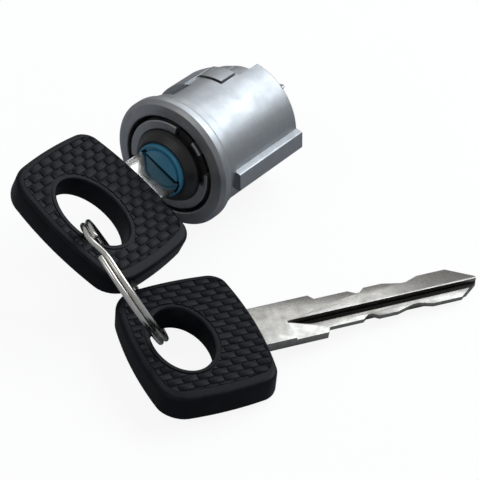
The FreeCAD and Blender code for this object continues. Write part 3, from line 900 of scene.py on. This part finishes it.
@dataclass
class Front:
    """What shows in the front of the housing: the black collar and the blue cap."""

    collar_front: float = 6.8
    collar_rear: float = 12.0
    collar_r: float = 7.85
    collar_wall: float = 2.0
    collar_nose: float = 1.7
    claw_root: float = 0.4
    claw_front: float = 9.0
    claw_rear: float = 11.4
    claw_r: float = 10.65
    claw_span: float = 24.0
    claw_edge: float = 0.15
    step_r: float = 9.15
    step_span: Point = (-12.0, 72.0)
    step_front: float = 8.3
    cap_front: float = 4.4
    cap_rear: float = 12.1
    cap_r: float = 5.75
    rim: float = 0.55
    ring_groove: float = 0.55
    slot_half_width: float = 5.35
    slot_half_height: float = 1.32

    def collar(self, black: Material) -> Object:
        """Model and dress the collar.

        Args:
            black: its finish.

        Returns:
            The piece.
        """
        inner = self.collar_r - self.collar_wall
        nose = self.collar_front - self.collar_nose
        corners = [(nose, inner, 0.15), (nose, inner + 0.5, 0.25),
                   (self.collar_front - 0.4, self.collar_r - 0.3, 0.4),
                   (self.collar_front + 0.3, self.collar_r, 0.2),
                   (self.collar_rear, self.collar_r, 0.0), (self.collar_rear, inner, 0.0)]
        body = Bench.lathe("collar_skin", eased(corners))
        root, half = inner + self.claw_root, self.claw_span / 2
        section = ring_part(root, self.step_r, *self.step_span)
        claws = [Bench.bar("step", section, self.step_front, self.claw_rear)]
        for angle in CLAWS:
            section = ring_part(root, self.claw_r, angle - half, angle + half)
            claws.append(Bench.bar("claw", section, self.claw_front, self.claw_rear))
        for claw in claws:
            Bench.soften(claw, self.claw_edge)
        Bench.combine(body, claws, Join.ADD)
        return Bench.settle(body, LOCK, black)

    def cap(self, blue: Material) -> Object:
        """Model and dress the keyway cap.

        Args:
            blue: its finish.

        Returns:
            The piece.
        """
        front, edge = self.cap_front, self.cap_r - self.rim
        floor = front + self.ring_groove
        corners = [(front, 0.0, 0.0), (front, edge - 0.7, 0.12), (floor, edge - 0.55, 0.0),
                   (floor, edge - 0.05, 0.0), (front - 0.02, edge + 0.05, 0.12), (front, self.cap_r, 0.28),
                   (self.cap_rear, self.cap_r, 0.0), (self.cap_rear, 0.0, 0.0)]
        body = Bench.lathe("cap_skin", eased(corners))
        slot = Bench.block("slot", (front - PAST, -self.slot_half_width, -self.slot_half_height),
                           (self.cap_rear + PAST, self.slot_half_width, self.slot_half_height))
        Bench.combine(body, [slot])
        return Bench.settle(body, LOCK, blue)


@dataclass
class Key:
    """A key: flat blade with its cuts, and the moulded bow with its brick grip."""

    blade_half: float = 3.9
    thick: float = 2.04
    shoulder_half: float = 5.15
    shoulder_end: float = 11.3
    slope: float = 0.8
    start: float = -8.6
    tip_start: float = 40.4
    tip: float = 45.3
    cut_flats: tuple = ((20.6, 21.4), (30.2, 31.4))
    cut_ramps: tuple = ((1.4, 1.2), (3.6, 2.8))
    cut_depth: float = 1.0
    ledge_start: float = 4.7
    ledge_depth: float = 0.5
    ledge_reach: float = 20.0
    thin_y: float = -2.7
    thin_depth: float = 0.62
    blade_edge: float = 0.09
    groove_y: tuple = (-0.25, -1.95)
    groove_start: float = 5.3
    groove_runout: float = 4.7
    groove_depth: float = 1.3
    bow_left: float = -26.6
    bow_right: float = -1.8
    bow_half: float = 15.9
    bow_thick: float = 5.4
    end_bulge: float = 1.5
    side_bulge: float = 0.9
    outer_corner: float = 4.0
    inner_corner: float = 2.6
    offset: float = -0.25
    hole_x: float = -16.8
    hole: tuple = (5.6, 8.6)
    panel: tuple = (-25.1, -2.1, 14.2)
    panel_corner: float = 2.2
    bow_edge: float = 0.8
    through: float = 9.0
    hole_edge: float = 0.4
    hole_rim: float = 0.9
    sunk: float = 0.2
    tile: tuple = (2.95, 1.72)
    joint_width: float = 0.28
    panel_shift: float = 0.45
    tile_inset: float = 0.14
    tile_edge: float = 0.09
    tile_root: float = 0.1
    tile_drop: float = 0.02
    tile_rim: float = 1.3
    tile_corner: float = 2.0

    def edge(self) -> list[Point]:
        """Draw the blade's upper edge.

        Returns:
            Points of (x, half width), from the bow to the tip.
        """
        full = self.blade_half
        points = [(self.start, self.shoulder_half), (self.shoulder_end, self.shoulder_half),
                  (self.shoulder_end + self.slope, full)]
        for (start, end), (before, after) in zip(self.cut_flats, self.cut_ramps):
            low = full - self.cut_depth
            points += [(start - before, full), (start, low), (end, low), (end + after, full)]
        return points + [(self.tip_start, full), (self.tip, 0.35)]

    def groove(self) -> list[Point]:
        """Draw the groove, whose start curves in from its inner wall.

        Returns:
            Points of (x, y).
        """
        inner, outer = self.groove_y
        points = []
        for step in range(9):
            share = step / 8
            points.append((self.groove_start + self.groove_runout * share,
                           inner + (outer - inner) * math.sin(share * math.pi / 2)))
        return points + [(FAR, outer), (FAR, inner)]

    def blade(self, name: str) -> Object:
        """Model the blade.

        Args:
            name: the piece's name.

        Returns:
            The blade, not yet placed.
        """
        top, narrow = self.thick / 2, self.shoulder_end + self.slope
        edge = self.edge()
        body = Bench.prism(name, edge + [(x, -half) for x, half in reversed(edge)], -top, top)
        ledge = (self.ledge_start, -self.ledge_reach, top - self.ledge_depth)
        thin = (narrow, -self.ledge_reach, -top - PAST)
        cuts = [Bench.block("ledge", ledge, (FAR, self.groove_y[0], top + PAST)),
                Bench.prism("groove", self.groove(), top - self.groove_depth, top + PAST),
                Bench.block("thin_edge", thin, (FAR, self.thin_y, self.thin_depth - top))]
        Bench.combine(body, cuts)
        Bench.soften(body, self.blade_edge, 2, 30.0)
        return body

    def plan(self, left: float, right: float, half: float, corners: Point,
             shift: float = 0.0) -> list[Point]:
        """Draw a four-sided plan whose sides bow outwards a little.

        Args:
            left: its outer end.
            right: its blade end.
            half: half its width.
            corners: radii of the outer and inner corners.
            shift: how far it lies off the bow's middle line.

        Returns:
            Points of (x, y).
        """
        end, side = self.end_bulge, self.side_bulge
        low, high, wide = left + end, right - end, half - side
        outer, inner = corners
        made: list[Point] = []
        for (cx, cy, radius, first) in ((low, -wide, outer, 180), (high, -wide, inner, 270),
                                        (high, wide, inner, 0), (low, wide, outer, 90)):
            mid = (cx + (radius if cx == low else -radius), cy + (radius if cy < 0 else -radius))
            for step in range(9):
                turn = math.radians(first + 90 * step / 8)
                made.append((mid[0] + radius * math.cos(turn), mid[1] + radius * math.sin(turn)))
        filled: list[Point] = []
        for (ax, ay), (bx, by) in zip(made, made[1:] + made[:1]):
            runs = max(1, round(math.hypot(bx - ax, by - ay) / 1.2))
            filled += [(ax + (bx - ax) * run / runs, ay + (by - ay) * run / runs) for run in range(runs)]
        centre, reach = (low + high) / 2, (high - low) / 2
        out = []
        for x, y in filled:
            u, v = (x - centre) / reach, y / wide
            out.append((x + end * u * (1 - v * v), y + side * v * (1 - u * u) + self.offset + shift))
        return out

    def oval(self, grow: float) -> list[Point]:
        """Draw the hole, or an outline round it.

        Args:
            grow: how far outside the hole.

        Returns:
            Points of (x, y).
        """
        return [(self.hole_x + (self.hole[0] + grow) * math.cos(turn * math.pi / 40),
                 self.offset + (self.hole[1] + grow) * math.sin(turn * math.pi / 40)) for turn in range(80)]

    def tiles(self) -> Object:
        """Model the brick grip of one face, lying on z = 0.

        Returns:
            The tiles, cut to the panel.
        """
        long, wide = self.tile
        gap = self.joint_width
        low, high = (-long / 2, -wide / 2, -self.tile_root), (long / 2, wide / 2, self.sunk - self.tile_drop)
        brick = Bench.block("brick", low, high)
        for vertex in brick.data.vertices:
            if vertex.co.z < 0:
                continue
            vertex.co.x -= math.copysign(gap / 2, vertex.co.x)
            vertex.co.y -= math.copysign(gap / 2, vertex.co.y)
        Bench.soften(brick, self.tile_edge, 1, 20.0)
        left, right, half = self.panel
        made = []
        row = 0
        y = -half
        while y < half + wide:
            x = left + (row % 2) * long / 2
            while x < right + long:
                copy = Bench.copy(brick, "brick")
                copy.data.transform(Matrix.Translation((x, y + self.offset + self.panel_shift, 0)))
                made.append(copy)
                x += long
            y += wide
            row += 1
        bpy.data.objects.remove(brick)
        tiles = Bench.join(made)
        inset, corners = self.tile_inset, (self.tile_corner, self.tile_corner)
        plan = self.plan(left + inset, right - inset, half - inset, corners, self.panel_shift)
        Bench.combine(tiles, [Bench.prism("keep", plan, -self.tile_root / 2, 2 * PAST)], Join.KEEP)
        Bench.combine(tiles, [Bench.prism("clear", self.oval(self.tile_rim), -PAST, 2 * PAST)])
        return tiles

    def bow(self, name: str) -> Object:
        """Model the bow.

        Args:
            name: the piece's name.

        Returns:
            The bow, not yet placed.
        """
        half = self.bow_thick / 2
        corners = (self.outer_corner, self.inner_corner)
        plan = self.plan(self.bow_left, self.bow_right, self.bow_half, corners)
        body = Bench.prism(name, plan, -half, half)
        Bench.soften(body, self.bow_edge, 4, 60.0)
        Bench.combine(body, [Bench.prism("hole", self.oval(0), -self.through, self.through)])
        Bench.soften(body, self.hole_edge, 3, 60.0)
        plan = self.plan(*self.panel, (self.panel_corner, self.panel_corner), self.panel_shift)
        past = self.through + PAST
        for low, high in ((half - self.sunk, self.through), (-self.through, -half + self.sunk)):
            sink = Bench.prism("panel", plan, low, high)
            Bench.combine(sink, [Bench.prism("rim", self.oval(self.hole_rim), -past, past)])
            Bench.combine(body, [sink])
        upper = self.tiles()
        lower = Bench.copy(upper, "tiles_below")
        lift = Matrix.Translation((0, 0, half - self.sunk))
        upper.data.transform(lift)
        lower.data.transform(Matrix.Scale(-1, 4, (0, 0, 1)) @ lift)
        lower.data.flip_normals()
        socket = Bench.block("socket", (self.start, -self.shoulder_half, -self.thick / 2),
                             (0, self.shoulder_half, self.thick / 2))
        Bench.combine(body, [socket])
        return Bench.join([body, upper, lower])


@dataclass
class SplitRing:
    """Two close turns of round wire, joined by one short step."""

    mid_r: float = 13.13
    wire: float = 1.1
    gap: float = 0.04
    start: float = 72.0
    step: float = 35.0
    overlap: float = 15.0
    spacing: float = 3.0
    end_edge: float = 0.12

    def place(self) -> Matrix:
        """Find the ring's frame from its joint and its box.

        Returns:
            The matrix from millimetres about the ring's centre to metres.
        """
        low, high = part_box("split_ring")
        normal = Vector(joint("ring_swing")["axis"]).normalized()
        across = Vector((0, 0, 1)).cross(normal).normalized()
        turn = Matrix((across, normal.cross(across), normal)).transposed().to_4x4()
        return Matrix.Translation((low + high) / 2) @ turn @ Matrix.Scale(MM, 4)

    def build(self, bright: Material) -> Object:
        """Model and dress the ring.

        Args:
            bright: its finish.

        Returns:
            The piece.
        """
        flat = 360 - self.step + self.overlap / 2
        total = 2 * flat + self.step
        rise = (self.wire + self.gap) / 2
        count = round(total / self.spacing)
        Bench.deselect()
        bpy.ops.curve.primitive_nurbs_path_add()
        path = bpy.context.object
        path.name = "ring_skin"
        path.data.splines.clear()
        spline = path.data.splines.new("POLY")
        spline.points.add(count)
        for number in range(count + 1):
            run = total * number / count
            share = min(max((run - flat) / self.step, 0.0), 1.0)
            height = rise * math.cos(math.pi * share)
            turn = math.radians(self.start - run)
            spline.points[number].co = (self.mid_r * math.cos(turn), self.mid_r * math.sin(turn), height, 1)
        path.data.dimensions = "3D"
        path.data.bevel_depth = self.wire / 2
        path.data.bevel_resolution = 4
        path.data.use_fill_caps = True
        Bench.choose(path)
        bpy.ops.object.convert(target="MESH")
        piece = bpy.context.object
        Bench.edit(piece)
        Bench.close()
        Bench.soften(piece, self.end_edge, 2, 60.0)
        return Bench.settle(piece, self.place(), bright, 50.0)


@dataclass(frozen=True)
class Lamp:
    """A soft lamp that looks at the object: place, width and height in metres, watts and tint."""

    name: str
    spot: tuple
    size: Point
    power: float
    tint: tuple
    aim: tuple = (0.0, 0.0, 0.01)

    def build(self) -> None:
        """Add the lamp."""
        bpy.ops.object.light_add(type="AREA", location=self.spot)
        lamp = bpy.context.object
        lamp.name = self.name
        lamp.data.shape = "RECTANGLE"
        lamp.data.size, lamp.data.size_y = self.size
        lamp.data.energy = self.power
        lamp.data.color = self.tint
        lamp.rotation_mode = "QUATERNION"
        lamp.rotation_quaternion = (Vector(self.aim) - Vector(self.spot)).to_track_quat("-Z", "Y")


@dataclass
class Studio:
    """Floor, lamps, world and camera."""

    back: tuple = (0.0, -0.77497, 0.63199)
    away: float = 404.353
    lock_in_view: tuple = (-18.791, 0.915, 14.379)
    lens: float = 150.0
    sensor: float = 36.0
    clip: Point = (0.01, 20.0)
    floor_size: float = 6.0
    floor_drop: float = 0.0001
    floor_bounce: tuple = (0.30, 0.31, 0.33)
    floor_white: tuple = (1.0, 1.0, 1.0)
    floor_rough: float = 0.9
    floor_share: float = 0.9
    sky: tuple = (0.98, 0.99, 1.0, 1.0)
    sky_strength: float = 0.36
    lamps: tuple = (
        Lamp("key_lamp", (0.72, 0.38, 0.74), (0.95, 0.80), 9.3, (0.87, 0.94, 1.0)),
        Lamp("back_lamp", (0.10, 0.85, 0.70), (0.70, 0.30), 1.6, (0.92, 0.96, 1.0)),
        Lamp("fill_lamp", (-0.70, -0.60, 0.75), (0.60, 0.60), 1.2, (1.0, 0.99, 0.97)),
    )

    def camera(self) -> None:
        """Set the camera at the photo's angle."""
        bpy.ops.object.camera_add()
        camera = bpy.context.object
        camera.data.lens = self.lens
        camera.data.sensor_width = self.sensor
        back = Vector(self.back)
        camera.location = LOCK.translation + (back * self.away - Vector(self.lock_in_view)) * MM
        camera.rotation_mode = "QUATERNION"
        camera.rotation_quaternion = (-back).to_track_quat("-Z", "Y")
        camera.data.clip_start, camera.data.clip_end = self.clip
        bpy.context.scene.camera = camera

    def floor(self) -> None:
        """Add the pale floor."""
        Bench.deselect()
        bpy.ops.mesh.primitive_plane_add(size=self.floor_size, location=(0, 0, -self.floor_drop))
        floor = bpy.context.object
        floor.name = "floor"
        material = bpy.data.materials.new("pale_floor")
        material.use_nodes = True
        tree = Tree(material.node_tree)
        shader = tree.nodes["Principled BSDF"]
        seen = tree.camera_ray()
        tree.feed(shader.inputs["Base Color"], tree.blend(seen, self.floor_bounce, self.floor_white))
        tree.feed(shader.inputs["Roughness"], self.floor_rough)
        tree.whiten(shader.outputs["BSDF"], "ShaderNodeEmission", seen * self.floor_share, "Material Output")
        floor.data.materials.append(material)

    def world(self) -> None:
        """Set a soft even world, white to the camera."""
        world = bpy.data.worlds.new("studio")
        bpy.context.scene.world = world
        world.use_nodes = True
        tree = Tree(world.node_tree)
        ground = tree.nodes["Background"]
        tree.feed(ground.inputs["Color"], self.sky)
        tree.feed(ground.inputs["Strength"], self.sky_strength)
        seen = tree.camera_ray()
        tree.whiten(ground.outputs["Background"], "ShaderNodeBackground", seen, "World Output")

    def build(self) -> None:
        """Set the whole stage."""
        self.floor()
        self.world()
        for lamp in self.lamps:
            lamp.build()
        self.camera()


def place(piece: Object, body: str, slot: str, node: str) -> None:
    """Attach a finished piece to the body that it rides on, hide the node that it stands for and log it.

    Args:
        piece: the piece.
        body: the body that it rides on.
        slot: its material slot; not used.
        node: the node that it stands for.
    """
    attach(piece, body)
    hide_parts(node)
    LOG.info("%s: %d faces, rides on %s", piece.name, len(piece.data.polygons), body)


def smoothed(node: str, material: Material) -> Object:
    """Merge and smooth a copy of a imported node.

    Args:
        node: the node's name.
        material: its finish.

    Returns:
        The copy.
    """
    piece = Bench.copy(frame["nodes"][node], node + "_skin")
    piece.parent = None
    for key in list(piece.keys()):
        del piece[key]
    Bench.edit(piece)
    bpy.ops.mesh.remove_doubles(threshold=MERGE * MM)
    bpy.ops.object.mode_set(mode="OBJECT")
    bpy.ops.object.shade_smooth_by_angle(angle=math.radians(30.0))
    piece.data.materials.clear()
    piece.data.materials.append(material)
    return piece


def spare_matrix(bow: Object) -> Matrix:
    """Find where the spare key lies from its node's box.

    Args:
        bow: the bow, about the key's own frame in millimetres.

    Returns:
        The matrix from millimetres in the key's frame to metres.
    """
    roll, pitch, yaw = (math.radians(angle) for angle in SPARE_KEY_TURN)
    turn = Matrix.Rotation(yaw, 4, "Z") @ Matrix.Rotation(pitch, 4, "Y") @ Matrix.Rotation(roll, 4, "X")
    corners = [turn @ (vertex.co * MM) for vertex in bow.data.vertices]
    low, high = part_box("spare_key_bow")
    middle = [(min(c[axis] for c in corners) + max(c[axis] for c in corners)) / 2 for axis in range(3)]
    return Matrix.Translation((low + high) / 2 - Vector(middle)) @ turn @ Matrix.Scale(MM, 4)


def main() -> None:
    """Build every piece in order, then the stage."""
    logging.basicConfig(level=logging.INFO, format="%(name)s %(message)s")
    zinc = SatinZinc().make(LOCK)
    black, blue = BLACK_COLLAR.make(LOCK), BLUE_CAP.make(LOCK)
    brass, steel = TURNED_BRASS.make(LOCK), SPRING_STEEL.make(LOCK)

    place(Housing().build(zinc), "housing", "zinc", "housing")
    front = Front()
    place(front.collar(black), "housing", "black_plastic", "locking_collar")
    place(front.cap(blue), "rotor", "blue_plastic", "keyway_cap")

    key = Key()
    bow, blade = key.bow("bow_skin"), key.blade("blade_skin")
    spare_bow, spare_blade = Bench.copy(bow, "spare_bow_skin"), Bench.copy(blade, "spare_blade_skin")
    spare = spare_matrix(bow)
    # The two keys take a darker and a lighter copy of one nickel plating: painted shade and painted light.
    for piece, matrix, body, node, slot, finish in (
            (bow, LOCK, "key", "key_bow", "black_moulding", BLACK_GRIP),
            (blade, LOCK, "key", "key_blade", "nickel_steel", NICKEL_LIT_COPY),
            (spare_bow, spare, "spare_key", "spare_key_bow", "black_moulding", BLACK_GRIP),
            (spare_blade, spare, "spare_key", "spare_key_blade", "nickel_steel", NICKEL_SHADED_COPY)):
        place(Bench.settle(piece, matrix, finish.make(matrix)), body, slot, node)

    ring = SplitRing()
    place(ring.build(BRIGHT_WIRE.make(ring.place())), "ring", "bright_wire", "split_ring")

    for node, body, slot, finish in (
            ("rotor", "rotor", "brass", brass), ("thrust_washer", "housing", "steel", steel),
            ("retaining_clip", "rotor", "spring_steel", steel), ("retaining_catch", "catch", "zinc", zinc)):
        place(smoothed(node, finish), body, slot, node)
    for name, node in frame["nodes"].items():
        if not node.hide_render:
            node.data.materials.clear()
            node.data.materials.append(steel if "spring" in name else brass)

    Studio().build()
    bpy.context.scene.view_settings.view_transform = "Standard"


if __name__ == "__main__":
    main()
